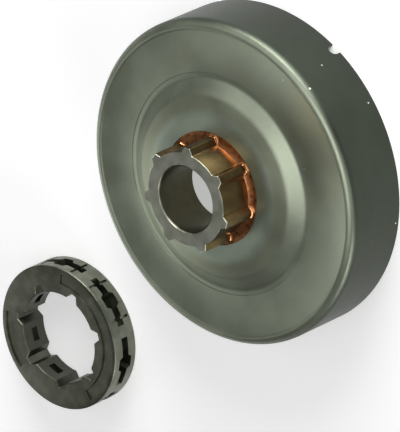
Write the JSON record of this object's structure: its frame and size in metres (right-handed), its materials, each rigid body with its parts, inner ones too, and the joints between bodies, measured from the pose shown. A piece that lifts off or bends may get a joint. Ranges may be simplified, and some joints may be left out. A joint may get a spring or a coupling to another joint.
{
  "type": "chainsaw rim sprocket",
  "caption": "Chainsaw rim sprocket set: pressed clutch drum with a copper-brazed splined hub, and the loose pocketed rim that slides on its splines.",
  "frame": {"origin": "on the drum's axis, in the plane of its open mouth, on which the drum stands; the rim lies flat on the same plane", "axes": "+Z along the drum's axis, out of the splined hub's end; the loose rim lies on the -X side"},
  "size_m": [0.1429, 0.0796, 0.0294],
  "materials": {
    "drum_steel": "satin pressed steel, heat-tinted round the hub, finely turned wall",
    "hub_steel": "machined end face, brown tint between the splines",
    "braze_copper": "flowed copper braze, semi-gloss",
    "rim_steel": "dark satin sintered steel"
  },
  "bodies": {
    "root": {"drum_cup": "drum_steel", "splined_hub": "hub_steel", "braze_ring": "braze_copper", "rim_sprocket": "rim_steel"}
  },
  "joints": []
}
